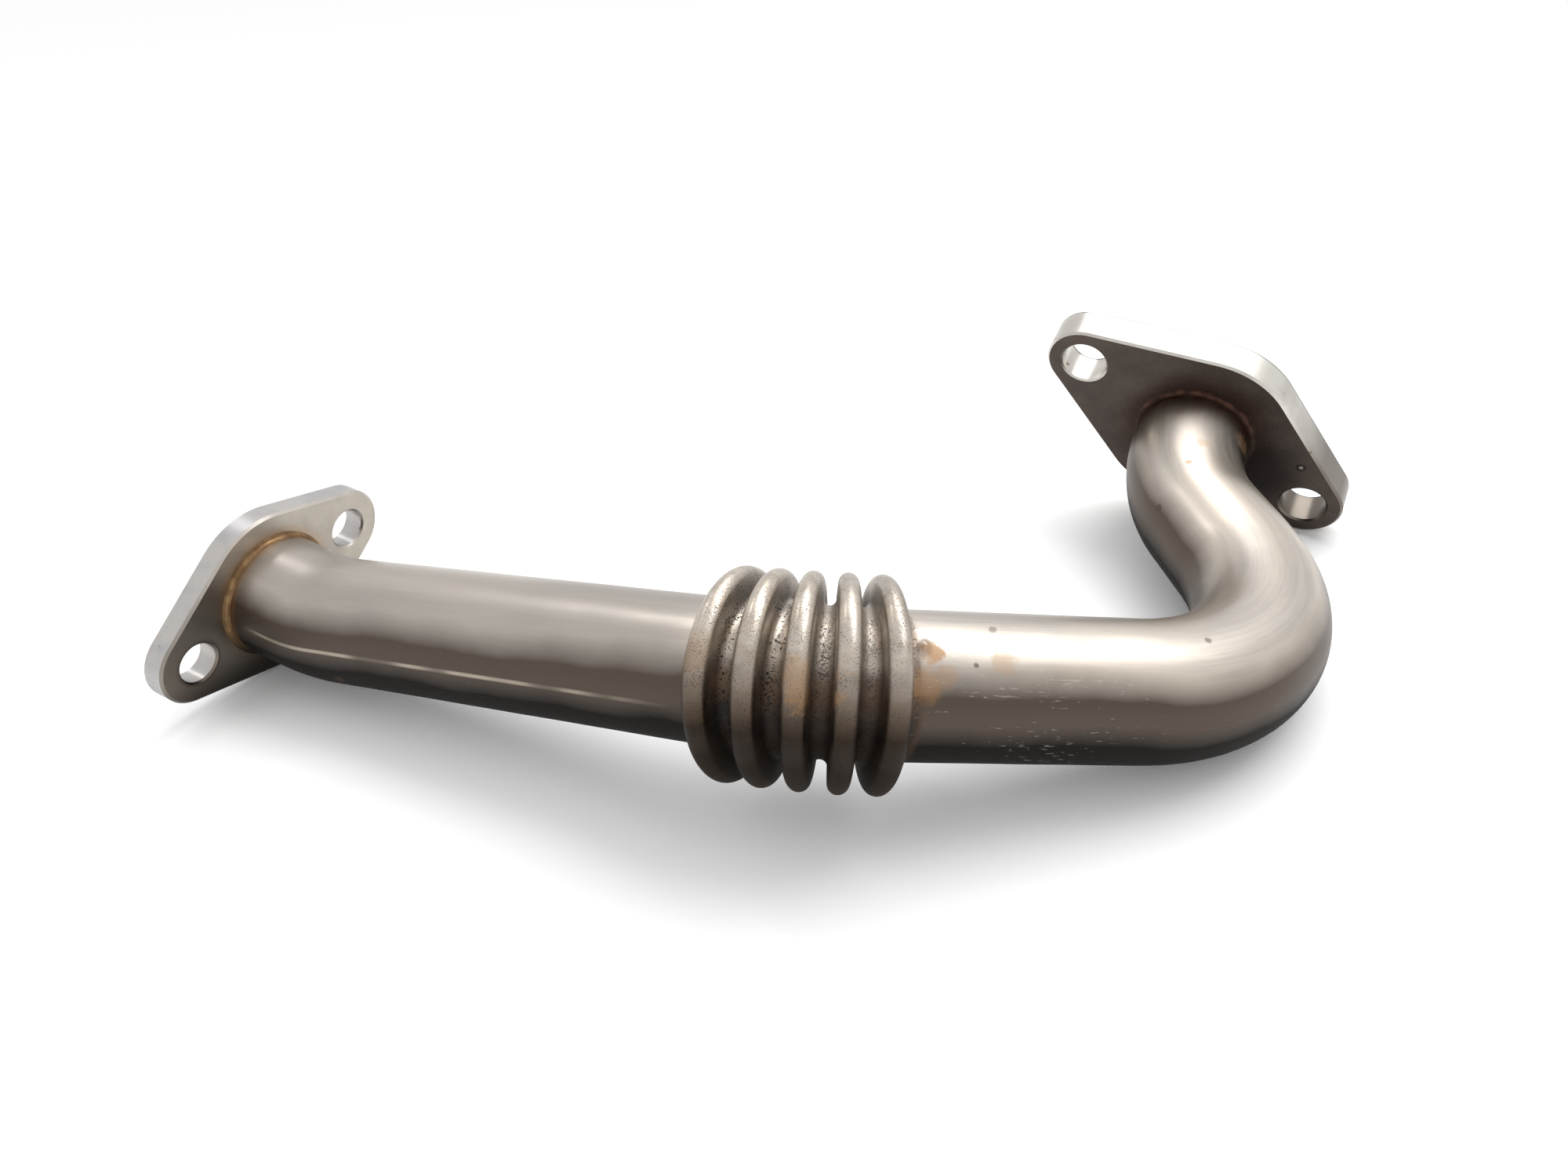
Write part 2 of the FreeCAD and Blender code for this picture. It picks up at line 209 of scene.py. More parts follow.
def turn_about(axis, angle):
    """A 3 by 3 turn about an axis, by Rodrigues' formula."""
    return np.array(Matrix.Rotation(angle, 3, Vector(axis)))


def folded_radius(tube, folds):
    """Radius of the bend that the folds fill, from their whole length and its angle."""
    return folds.count * folds.pitch / tube.angles[FOLDED_BEND]


class TubeLine:
    """The tube's centre line, cut into straight runs and arcs.

    Each piece keeps its start length, start point and start axes (two across the tube, one along
    it). An arc also keeps the direction that it bends to, its radius, and its angle per length.
    """

    def __init__(self, tube, folds):
        along = np.array(tube.leaving, float)
        along /= np.linalg.norm(along)
        first = np.array(tube.hole_line, float)
        first -= along * (first @ along)
        first /= np.linalg.norm(first)
        axes = np.stack([first, np.cross(along, first), along])
        point = np.array(tube.seat, float) - along * tube.depth
        radii = [tube.bend_radius] * len(tube.angles)
        radii[FOLDED_BEND] = folded_radius(tube, folds)
        self.pieces = []
        self.length = 0.0
        for number, run in enumerate(tube.runs):
            self.add(point, axes, run, None, 0.0)
            point = point + axes[2] * run
            if number == len(tube.angles):
                break
            plane, angle, radius = tube.planes[number], tube.angles[number], radii[number]
            towards = axes[0] * math.cos(plane) + axes[1] * math.sin(plane)
            self.add(point, axes, radius * angle, towards, radius)
            hinge = np.cross(axes[2], towards)
            swing = turn_about(hinge, angle)
            centre = point + towards * radius
            point = centre + swing @ (point - centre)
            axes = axes @ swing.T

    def add(self, point, axes, length, towards, radius):
        """Note one piece and the length at which it starts."""
        self.pieces.append((self.length, length, point, axes, towards, radius))
        self.length += length

    def arc_start(self, number):
        """The length at which a bend starts."""
        return self.pieces[2 * number + 1][0]

    def at(self, s, lean=0.0):
        """Points and axes at the lengths s, shape (n, 3) each: centre, two across, one along.

        On an arc of radius R the centre is start + R(1 - cos t) towards + R sin t along, with
        t = (s - start) / R, and the axes turn by t less the lean.
        """
        s = np.asarray(s, float)
        lean = np.broadcast_to(lean, s.shape)
        centre, one, two, ahead = (np.zeros((len(s), 3)) for _ in range(4))
        for number, (start, length, point, axes, towards, radius) in enumerate(self.pieces):
            last = number == len(self.pieces) - 1
            here = (s >= start if number else s > -1) & ((s < start + length) | last)
            t = (s[here] - start)[:, None]
            if towards is None:
                centre[here] = point + t * axes[2]
                one[here], two[here], ahead[here] = axes
                continue
            angle = t / radius
            swung = (1 - np.cos(angle)) * towards + np.sin(angle) * axes[2]
            centre[here] = point + radius * swung
            angle = angle - lean[here][:, None]
            hinge = np.cross(axes[2], towards)
            for target, axis in ((one, axes[0]), (two, axes[1]), (ahead, axes[2])):
                fixed = hinge * (hinge @ axis)
                target[here] = (fixed + np.cos(angle) * (axis - fixed)
                                + np.sin(angle) * np.cross(hinge, axis))
        return centre, one, two, ahead


def fold_profile(tube, folds, arc_points):
    """One fold from valley to valley: place along the tube, radius, and the skin's slope.

    A crest circle stands at (0, fold radius - crest) and a root circle at (half a pitch, tube
    radius + root). The line that touches both joins them. The slope is the outward normal's angle.
    """
    rise = folds.radius - folds.crest - tube.radius - folds.root
    span = math.hypot(folds.pitch / 2, rise)
    flank = math.acos((folds.crest + folds.root) / span) - math.atan2(rise, folds.pitch / 2)
    down = np.linspace(math.pi / 2, flank, arc_points)
    back = np.linspace(flank, math.pi / 2, arc_points - 2)
    place = np.r_[folds.crest * np.cos(down), folds.pitch / 2 - folds.root * np.cos(back)]
    radius = np.r_[folds.radius - folds.crest + folds.crest * np.sin(down),
                   tube.radius + folds.root - folds.root * np.sin(back)]
    slope = np.r_[down, back]
    return (np.r_[-place[:0:-1], place], np.r_[radius[:0:-1], radius],
            np.r_[math.pi - slope[:0:-1], slope])


def skin_rows(tube, folds, line, bend_step, run_step, arc_points):
    """Rows of the tube's outer skin: length, radius, outward slope and fold lean, end to end."""
    rows = []
    for number, (start, length, *_) in enumerate(line.pieces):
        if number == FOLDED_PIECE:
            place, radius, slope = fold_profile(tube, folds, arc_points)
            for fold in range(folds.count):
                rows.append(np.stack([start + (fold + 0.5) * folds.pitch + place, radius, slope,
                                      place / folds.pitch])[:, :-1])
            continue
        count = max(3, round(length / (bend_step if number % 2 else run_step)))
        s = start + length * np.arange(count) / count
        for place, *_ in SPATTER:
            near = place + SPATTER_ROWS
            s = np.union1d(s, near[(near > start) & (near < start + length)])
        rows.append(np.stack([s, np.full(len(s), tube.radius), np.full(len(s), math.pi / 2),
                              np.zeros(len(s))]))
    return np.concatenate(rows, axis=1)


def lean_of(tube, folds, turns):
    """How far a section leans back, so that crests stay nearly even: e (p/R) sin(2 pi u) / 2 pi."""
    lean = folds.evenness * folds.pitch / folded_radius(tube, folds)
    return lean * np.sin(2 * math.pi * turns) / (2 * math.pi)


def faint_waves(s, phi):
    """Low waves between 0 and 1 that bending leaves in a tube: slow sines along and round it."""
    wave = (np.sin(s * 190 + 2 * np.sin(phi)) + np.sin(s * 71 + 3 * phi)
            + np.sin(s * 420 - 2 * phi + 1.3) + np.sin(5 * phi + s * 33))
    return 0.5 + wave / 8


def grid_mesh(name, points, attributes):
    """A smooth mesh from a grid of points (rows, columns, 3), closed round both ways."""
    rows, columns = points.shape[:2]
    lower = np.arange(rows * columns).reshape(rows, columns)
    upper = np.roll(lower, -1, axis=0)
    corners = lower, np.roll(lower, -1, axis=1), np.roll(upper, -1, axis=1), upper
    quads = np.stack(corners, axis=-1).reshape(-1, 4)
    mesh = bpy.data.meshes.new(name)
    mesh.vertices.add(rows * columns)
    mesh.vertices.foreach_set("co", points.reshape(-1))
    mesh.loops.add(quads.size)
    mesh.loops.foreach_set("vertex_index", quads.reshape(-1).astype(np.int32))
    mesh.polygons.add(len(quads))
    mesh.polygons.foreach_set("loop_start", (np.arange(len(quads)) * 4).astype(np.int32))
    mesh.polygons.foreach_set("loop_total", np.full(len(quads), 4, np.int32))
    mesh.polygons.foreach_set("use_smooth", np.full(len(quads), True))
    for key, values in attributes.items():
        mesh.attributes.new(key, "FLOAT_VECTOR", "POINT").data.foreach_set(
            "vector", values.reshape(-1).astype(np.float32))
    mesh.update(calc_edges=True)
    mesh.validate()
    return mesh


def new_piece(name, mesh, *materials):
    """A piece of the pipe from its mesh and materials, riding on the pipe's one body."""
    for material in materials:
        mesh.materials.append(material)
    piece = bpy.data.objects.new(name, mesh)
    bpy.context.scene.collection.objects.link(piece)
    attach(piece, next(iter(frame["bodies"])))
    return piece


def spatter_height(tube, s, phi):
    """Height of the weld spatter on the skin: a bell h exp(-(d / w)^2) at the distance d."""
    height = np.zeros((len(s), len(phi)))
    for place, angle, width, top in SPATTER:
        turned = np.mod(phi - angle + math.pi, 2 * math.pi) - math.pi
        away = np.hypot(s[:, None] - place, tube.radius * turned)
        height += top * np.exp(-(away / width) ** 2)
    return height


def tube_points(tube, folds, line):
    """The whole wall of the tube as one closed grid: start, outer skin, end and inner skin.

    A point is centre(s) + r (cos phi one + sin phi two). The inner skin is the outer one moved in
    by the wall along its normal. The second grid holds the same points on a straightened tube, and
    the third the directions outward from its centre line. The last result is the row from which
    the inside starts.
    """
    outer = skin_rows(tube, folds, line, *OUTER_ROWS)[:, 1:]
    inner = skin_rows(tube, folds, line, *INNER_ROWS)
    inner[3] -= tube.wall * np.cos(inner[2]) / folds.pitch * (inner[3] != 0)
    inner[0] -= tube.wall * np.cos(inner[2])
    inner[1] -= tube.wall * np.sin(inner[2])
    inner = inner[:, 1:][:, ::-1]

    def rim(s, r):
        return np.stack([s, r, np.full(len(s), math.pi / 2), np.zeros(len(s))])

    corner = LIP * np.array([0, 0.3, 1])
    edge = np.r_[corner[::-1], corner]
    radii = np.r_[tube.radius - tube.wall + corner, tube.radius - corner[::-1]]
    start_rim = rim(edge, radii)
    end_rim = rim(line.length - edge[::-1], radii[::-1])
    s, r, _, turns = np.concatenate([start_rim, outer, end_rim, inner], axis=1)
    skin_start = len(edge)
    skin_end = skin_start + outer.shape[1]
    phi = np.linspace(0, 2 * math.pi, tube.around, endpoint=False)
    skin = np.zeros((len(s), 1))
    skin[skin_start:skin_end] = 1
    r = r[:, None] - skin * tube.unevenness * faint_waves(s[:, None], phi[None])
    r = r + skin * spatter_height(tube, s, phi)
    centre, one, two, _ = line.at(s, lean_of(tube, folds, turns))
    across = np.cos(phi)[None, :, None] * one[:, None] + np.sin(phi)[None, :, None] * two[:, None]
    points = centre[:, None] + r[..., None] * across
    along = np.broadcast_to(s[:, None], r.shape)
    straight = np.stack([along, r * np.cos(phi), r * np.sin(phi)], -1)
    return points, straight, across, skin_end + len(edge) - 1


# Shader nodes


def feed(tree, socket, value):
    """Link an input to a node's output, or set it. Three numbers for a colour get alpha 1."""
    if isinstance(value, bpy.types.NodeSocket):
        tree.links.new(value, socket)
    elif socket.type == "RGBA" and len(value) == 3:
        socket.default_value = (*value, 1.0)
    else:
        socket.default_value = value


def feed_named(tree, node, **values):
    """Feed a node's inputs by name, with underscores for spaces."""
    for key, value in values.items():
        feed(tree, node.inputs[key.replace("_", " ")], value)


def put(tree, kind, **values):
    """Add a node and feed its inputs by name. Returns it."""
    node = tree.nodes.new(kind)
    feed_named(tree, node, **values)
    return node


def calc(tree, operation, *values, clamp=False):
    """A Math node. Returns its result."""
    node = tree.nodes.new("ShaderNodeMath")
    node.operation, node.use_clamp = operation, clamp
    for socket, value in zip(node.inputs, values):
        feed(tree, socket, value)
    return node.outputs[0]


def times(tree, product, *values):
    """Numbers multiplied together. Returns the product."""
    for value in values:
        product = calc(tree, "MULTIPLY", product, value)
    return product


def rest_of(tree, share):
    """What a share leaves of 1."""
    return calc(tree, "SUBTRACT", 1.0, share)


def vector_calc(tree, operation, *values):
    """A Vector Math node. Returns its result, a number for a length, distance or dot product."""
    node = tree.nodes.new("ShaderNodeVectorMath")
    node.operation = operation
    for socket, value in zip(node.inputs, values):
        feed(tree, socket, value)
    return node.outputs[1 if operation in ("LENGTH", "DISTANCE", "DOT_PRODUCT") else 0]


def drawn_out(tree, place, factors):
    """A place with each of its coordinates multiplied, which draws a noise out or in."""
    return vector_calc(tree, "MULTIPLY", place, factors)


def split(tree, vector):
    """A vector's three numbers."""
    return put(tree, "ShaderNodeSeparateXYZ", Vector=vector).outputs


def coordinates(tree, kind="Object"):
    """One of a piece's own texture coordinates."""
    return tree.nodes.new("ShaderNodeTexCoord").outputs[kind]


def attribute(tree, name):
    """An attribute of the piece's grid."""
    node = tree.nodes.new("ShaderNodeAttribute")
    node.attribute_name = name
    return node.outputs["Vector"]


def noise(tree, place, scale, detail, roughness=0.5):
    """A Noise Texture. Returns its value."""
    return put(tree, "ShaderNodeTexNoise", Vector=place, Scale=scale, Detail=detail,
               Roughness=roughness).outputs[0]


def ramp(tree, value, low, high, to_low=0.0, to_high=1.0):
    """A smooth step of a value from one range to another. Returns it."""
    node = put(tree, "ShaderNodeMapRange", Value=value, From_Min=low, From_Max=high,
               To_Min=to_low, To_Max=to_high)
    node.interpolation_type = "SMOOTHSTEP"
    return node.outputs[0]


def number_mix(tree, factor, one, two):
    """Two numbers mixed by a factor. Returns the mix."""
    node = tree.nodes.new("ShaderNodeMix")
    for place, value in ((0, factor), (2, one), (3, two)):
        feed(tree, node.inputs[place], value)
    return node.outputs[0]


def colour_mix(tree, factor, one, two):
    """Two colours mixed by a factor. Returns the mix."""
    node = tree.nodes.new("ShaderNodeMix")
    node.data_type = "RGBA"
    for place, value in ((0, factor), (6, one), (7, two)):
        feed(tree, node.inputs[place], value)
    return node.outputs[2]


def layered(tree, colour, *layers):
    """A colour with others laid over it in turn, each by its own mask."""
    for mask, shade in layers:
        colour = colour_mix(tree, mask, colour, shade)
    return colour


def bumps(tree, height, strength, depth, **normal):
    """A Bump node of a given depth in metres. Returns its normal."""
    return put(tree, "ShaderNodeBump", Strength=strength, Distance=depth, Height=height,
               **normal).outputs[0]


def new_group(name, inputs, outputs):
    """A shader node group with named inputs and outputs. Returns its tree, inputs and end node."""
    tree = bpy.data.node_groups.new(name, "ShaderNodeTree")
    for label, kind, default in inputs:
        socket = tree.interface.new_socket(label, in_out="INPUT", socket_type=kind)
        if default is not None:
            socket.default_value = default
    for label, kind in outputs:
        tree.interface.new_socket(label, in_out="OUTPUT", socket_type=kind)
    return tree, tree.nodes.new("NodeGroupInput").outputs, tree.nodes.new("NodeGroupOutput")


def grain_group(name):
    """Fine brush marks: noise drawn out along the first coordinate, with a coarser layer."""
    tree, given, result = new_group(
        name,
        [("Place", "NodeSocketVector", None), ("Depth", "NodeSocketFloat", 0.15),
         ("Stretch", "NodeSocketVector", (60.0, 3000.0, 3000.0))],
        [("Streaks", "NodeSocketFloat"), ("Normal", "NodeSocketVector")])
    drawn = drawn_out(tree, given["Place"], given["Stretch"])
    fine = noise(tree, drawn, 1.0, 5.0, 0.6)
    broad = noise(tree, drawn_out(tree, drawn, (0.35, 0.16, 0.16)), 1.0, 3.0)
    both = number_mix(tree, 0.45, fine, broad)
    feed_named(tree, result, Streaks=both, Normal=bumps(tree, both, given["Depth"], 0.00005))
    return tree


def speck_group(name):
    """Small specks: noise cut off at a threshold, thinned by a slower noise."""
    tree, given, result = new_group(
        name,
        [("Place", "NodeSocketVector", None), ("Scale", "NodeSocketFloat", 2600.0),
         ("Threshold", "NodeSocketFloat", 0.62), ("Softness", "NodeSocketFloat", 0.03)],
        [("Mask", "NodeSocketFloat")])
    fine = noise(tree, given["Place"], given["Scale"], 2.0, 0.55)
    slow = noise(tree, given["Place"], 260.0, 2.0)
    level = calc(tree, "ADD", fine, calc(tree, "MULTIPLY_ADD", slow, 0.35, -0.175))
    over = calc(tree, "SUBTRACT", level, given["Threshold"])
    feed_named(tree, result, Mask=calc(tree, "DIVIDE", over, given["Softness"], clamp=True))
    return tree


def stain_group(name):
    """A ragged stain round a centre: 1 inside, falling to 0 at its size."""
    tree, given, result = new_group(
        name,
        [("Place", "NodeSocketVector", None), ("Centre", "NodeSocketVector", None),
         ("Size", "NodeSocketFloat", 0.003), ("Ragged", "NodeSocketFloat", 0.5)],
        [("Mask", "NodeSocketFloat")])
    torn = calc(tree, "SUBTRACT", noise(tree, given["Place"], 650.0, 4.0, 0.65), 0.5)
    away = vector_calc(tree, "DISTANCE", given["Place"], given["Centre"])
    share = calc(tree, "DIVIDE", away, given["Size"])
    share = calc(tree, "MULTIPLY_ADD", times(tree, torn, given["Ragged"]), 2.0, share)
    feed_named(tree, result, Mask=ramp(tree, share, 1.0, 0.45))
    return tree


def underside_group(name):
    """How far a direction points down: 0 at a height Start, 1 at Full, broken by slow noise."""
    tree, given, result = new_group(
        name,
        [("Normal", "NodeSocketVector", None), ("Place", "NodeSocketVector", None),
         ("Start", "NodeSocketFloat", 0.35), ("Full", "NodeSocketFloat", -0.85)],
        [("Mask", "NodeSocketFloat")])
    wave = calc(tree, "MULTIPLY_ADD", noise(tree, given["Place"], 45.0, 3.0), 0.3, -0.15)
    wavy = calc(tree, "ADD", split(tree, given["Normal"])["Z"], wave)
    span = calc(tree, "SUBTRACT", given["Start"], given["Full"])
    mask = calc(tree, "DIVIDE", calc(tree, "SUBTRACT", given["Start"], wavy), span, clamp=True)
    feed_named(tree, result, Mask=mask)
    return tree


SHARED = {"brushed_grain": grain_group, "specks": speck_group, "stain": stain_group,
          "underside": underside_group}


def shared(tree, name, **values):
    """Place a shared group, made the first time that it is asked for. Returns its outputs."""
    node = tree.nodes.new("ShaderNodeGroup")
    node.node_tree = bpy.data.node_groups.get(name) or SHARED[name](name)
    feed_named(tree, node, **values)
    return node.outputs


def new_material(name):
    """An empty material. Returns it, its tree and its Principled shader."""
    material = bpy.data.materials.new(name)
    material.use_nodes = True
    tree = material.node_tree
    tree.nodes.clear()
    shader = tree.nodes.new("ShaderNodeBsdfPrincipled")
    put(tree, "ShaderNodeOutputMaterial", Surface=shader.outputs[0])
    return material, tree, shader


# Stains on the tube: centre on the straightened tube in mm, size in mm, raggedness and strength
STAINS = (
    ((142.0, -3.4, 12.0), 2.3, 0.8, 0.65),
    ((141.0, -8.0, 9.6), 3.4, 0.4, 0.40),
    ((143.6, -7.0, 10.2), 2.8, 0.5, 0.30),
    ((153.4, -4.9, 11.5), 2.6, 0.9, 0.28),
    ((112.9, -9.2, 15.1), 4.4, 0.5, 0.22),
    ((124.6, -11.0, 14.0), 3.8, 1.2, 0.32),
    ((126.5, -12.2, 12.6), 4.4, 1.2, 0.38),
    ((269.5, 2.9, 12.1), 2.0, 0.8, 0.22),
    ((263.0, 7.0, 10.4), 0.9, 0.8, 0.40),
    ((279.5, -8.0, 9.5), 4.0, 0.7, 0.35),
)
# Dark marks on the tube, in the same way
DARK_MARKS = (
    ((257.0, 12.3, 2.0), 1.0, 0.5, 0.6),
    ((29.6, -12.0, -3.4), 1.5, 0.8, 0.6),
    ((153.0, 1.5, 12.4), 0.9, 0.9, 0.5),
    ((190.1, 0.0, 12.4), 0.8, 0.6, 0.6),
    ((149.0, -5.2, 11.3), 0.6, 0.6, 0.7),
)
# A painted reflection on the long run, a thin light line: angle round the tube, its half width
# fading out, its start and its end along the tube fading in and out
REFLECTION_LINE_ANGLE = math.radians(162.0)
REFLECTION_LINE_WIDTH = (0.045, 0.012)
REFLECTION_LINE_START = (8.0 * MM, 13.0 * MM)
REFLECTION_LINE_END = (110.0 * MM, 80.0 * MM)
# Middle and size of the scuffed part of the run after the folds
SCUFFED = (160.0 * MM, -9.4 * MM, 8.2 * MM)
SCUFFED_SIZE = 24.0 * MM
# Colours of brush marks, of the painted reflection line and of scratched steel, and of soot, of
# dust with painted shade, and of seams
BRUSHED = (0.75, 0.71, 0.66)
REFLECTION_LINE_COLOUR = (0.50, 0.44, 0.36)
SCRATCHED = (0.8, 0.76, 0.7)
JOINT_SOOT = (0.10, 0.045, 0.03)
FOLD_DUST_AND_SHADE = (0.20, 0.125, 0.070)
SEAM_DIRT = (0.12, 0.070, 0.040)
BORE_METAL = (0.07, 0.055, 0.045)
# Small flange: two shades each of its face and edge, then painted shade towards one end of its face
# and a painted shadow low on its face, near the floor
SMALL_FACE = ((0.50, 0.455, 0.395), (0.40, 0.36, 0.31))
SMALL_EDGE = ((0.50, 0.475, 0.455), (0.41, 0.40, 0.41))
SMALL_END_SHADE = (0.13, 0.105, 0.085)
SMALL_FLOOR_SHADOW = (0.028, 0.022, 0.018)
# Its near hole, on the face
NEAR_HOLE = (-21.0 * MM, 0.0, 0.0)
# Large flange: lighter colour of its face, partly painted shade, shades and rust of its edge,
# painted shade towards one end of the edge and a dark rear line, then its far face and bevel, the
# soot round the braze and a painted shadow on the face beside the tube
LARGE_FACE = (0.105, 0.082, 0.068)
LARGE_EDGE = ((0.62, 0.60, 0.55), (0.50, 0.47, 0.43))
EDGE_RUST = (0.20, 0.12, 0.06)
EDGE_SHADE = (0.12, 0.10, 0.082)
EDGE_REAR = (0.11, 0.105, 0.10)
FAR_FACE = (0.42, 0.40, 0.37)
FAR_BEVEL = (0.13, 0.12, 0.11)
BRAZE_SOOT = (0.045, 0.022, 0.015)
NECK_SHADOW = (0.014, 0.010, 0.008)
# Middle of that painted shadow, on the face
NECK_SHADOW_MIDDLE = (-16.0 * MM, -1.0 * MM, 0.0)
# The pip beside the large flange's lower hole: its place on the face, its painted shade ring and
# its painted highlight on top
PIP = (-22.2 * MM, -8.8 * MM, 0.0)
PIP_SHADE_RING = (0.012, 0.009, 0.008)
PIP_HIGHLIGHT = (0.40, 0.36, 0.33)
# Each ring of braze: light and dark colour, heights of full and no painted shade, and phase of its
# waves
BRAZE = {
    "small": ((0.27, 0.17, 0.08), (0.17, 0.10, 0.05), 8.0 * MM, 18.0 * MM, 0.4),
    "large": ((0.085, 0.040, 0.028), (0.035, 0.019, 0.014), 20.0 * MM, 36.0 * MM, 1.9),
}
BRAZE_FOOT_SHADE = (0.022, 0.015, 0.011)


class TubePlace:
    """Sockets that tell where a point of the tube's skin is, from its grid's two attributes."""

    def __init__(self, tree, line, tube, folds):
        self.straight = attribute(tree, "straight")
        self.outward = attribute(tree, "outward")
        parts = split(tree, self.straight)
        self.s = parts["X"]
        self.around = calc(tree, "ARCTAN2", parts["Z"], parts["Y"])
        flat = drawn_out(tree, self.straight, (0.0, 1.0, 1.0))
        self.height = calc(tree, "SUBTRACT", vector_calc(tree, "LENGTH", flat), tube.radius)
        self.first = line.arc_start(1)
        self.last = self.first + folds.count * folds.pitch
        self.folded = times(
            tree, ramp(tree, self.s, self.first - 1.2 * MM, self.first + 0.5 * MM),
            ramp(tree, self.s, self.last + 1.6 * MM, self.last - 0.5 * MM))
        # How far the skin faces sideways and down, for painted shade; the crests are spared part of
        # the side shade
        self.side = self.facing_down(tree, 0.76, 0.43)
        self.lower = self.facing_down(tree, 0.48, 0.12)
        self.under = self.facing_down(tree, 0.10, -0.22)
        spared = ramp(tree, self.height, 2.5 * MM, 5.0 * MM, 0.0, 0.40)
        spared = times(tree, spared, rest_of(tree, self.lower))
        self.side = times(tree, self.side, rest_of(tree, spared))

    def facing_down(self, tree, start, full):
        """How far the tube faces down here, from a start to a full height of the direction."""
        return shared(tree, "underside", Normal=self.outward, Place=self.straight,
                      Start=start, Full=full)["Mask"]


def marks_mask(tree, place, marks):
    """The strongest of a list of ragged marks at each place of the tube."""
    result = None
    for centre, size, torn, strength in marks:
        mask = shared(tree, "stain", Place=place, Centre=tuple(c * MM for c in centre),
                      Size=size * MM, Ragged=torn)["Mask"]
        mask = times(tree, mask, strength)
        result = calc(tree, "MAXIMUM", result, mask) if result else mask
    return result


def bare_steel(tree, look, at, patches, streaks):
    """Patchy brushed steel, duller towards the folds, with painted shade down its sides and
    underside, and a painted reflection: a thin light line on the long run.
    """
    bands = noise(tree, drawn_out(tree, at.straight, (5, 420, 420)), 1.0, 3.0)
    near_folds = ramp(tree, at.s, at.first + 2 * MM, at.first - 8 * MM, 0.0, 0.6)
    # Painted reflection: a thin light line low along the long run
    off_line = calc(tree, "ABSOLUTE", calc(tree, "SUBTRACT", at.around, REFLECTION_LINE_ANGLE))
    broken = noise(tree, drawn_out(tree, at.straight, (55, 0, 0)), 1.0, 1.0)
    reflection_line = times(tree, ramp(tree, off_line, *REFLECTION_LINE_WIDTH), ramp(tree, at.s, *REFLECTION_LINE_START),
                ramp(tree, at.s, *REFLECTION_LINE_END), ramp(tree, broken, 0.40, 0.55, 0.15, 0.75))
    return layered(
        tree, look.bright,
        (ramp(tree, patches, 0.35, 0.68), look.dull),
        (ramp(tree, bands, 0.35, 0.75, 0.0, 0.35), look.dull),
        (ramp(tree, streaks, 0.35, 0.7, 0.0, 0.22), BRUSHED),
        (near_folds, look.dull),
        # Painted shade on the sides and underside
        (at.side, look.side),
        (at.under, look.under),
        # Painted reflection line
        (reflection_line, REFLECTION_LINE_COLOUR))


def joint_tints(tree, look, at, tube, line, colour):
    """A straw heat tint beside the small flange and brown soot beside the large one."""
    ragged = noise(tree, at.straight, 300.0, 4.0)
    near_small = ramp(tree, at.s, tube.depth + 2.6 * MM, tube.depth + 0.8 * MM, 0.0, 0.4)
    near_large = ramp(tree, at.s, line.length - 16.0 * MM, line.length - 8.0 * MM)
    return layered(
        tree, colour,
        (times(tree, near_small, ramp(tree, ragged, 0.2, 0.6, 0.6, 1.0)), look.straw),
        (times(tree, near_large, ramp(tree, ragged, 0.2, 0.6, 0.7, 1.0)), JOINT_SOOT))


def fold_dirt(tree, look, at, colour):
    """Film, dust, soot and black specks among the folds, with painted shade: the film and dust lie
    mostly on the side that faces down, and the folds' lower half is painted near black. Returns the
    colour, film and specks.
    """
    cloud = noise(tree, at.straight, 240.0, 5.0, 0.6)
    # Valley grime, laid mostly where the skin faces down, which is painted shade
    film_and_shade = times(tree, ramp(tree, at.height, 4.4 * MM, 1.0 * MM),
                 ramp(tree, cloud, 0.25, 0.6, 0.3, 0.9),
                 calc(tree, "MULTIPLY_ADD", at.side, 0.9, 0.06), at.folded)
    # Dust, and painted shade where the skin faces down
    dust_and_shade = calc(tree, "MULTIPLY_ADD", at.side, 0.40, ramp(tree, cloud, 0.45, 0.7, 0.05, 0.30))
    to_last, to_first = (calc(tree, "ABSOLUTE", calc(tree, "SUBTRACT", at.s, end))
                         for end in (at.last, at.first))
    seam = ramp(tree, calc(tree, "MINIMUM", to_last, to_first), 0.7 * MM, 0.2 * MM)
    seam = times(tree, seam, ramp(tree, cloud, 0.3, 0.6, 0.1, 0.5))
    specks = shared(tree, "specks", Place=at.straight, Scale=2600.0, Threshold=0.57)["Mask"]
    pits = times(tree, specks, ramp(tree, at.height, 4.0 * MM, 1.5 * MM),
                 ramp(tree, at.s, at.first + 24 * MM, at.first + 10 * MM, 0.3, 1.0))
    dots = shared(tree, "specks", Place=at.straight, Scale=5200.0, Threshold=0.57, Softness=0.08)
    pits = calc(tree, "MAXIMUM", pits, times(tree, dots["Mask"], 0.6))
    pits = times(tree, at.folded, pits)
    colour = layered(
        tree, colour,
        (film_and_shade, look.grime),
        (times(tree, at.folded, dust_and_shade), FOLD_DUST_AND_SHADE),
        (seam, SEAM_DIRT),
        # Painted shade: the folds' lower half near black
        (times(tree, at.folded, at.lower, 0.85), look.under),
        (pits, look.soot))
    return colour, film_and_shade, pits


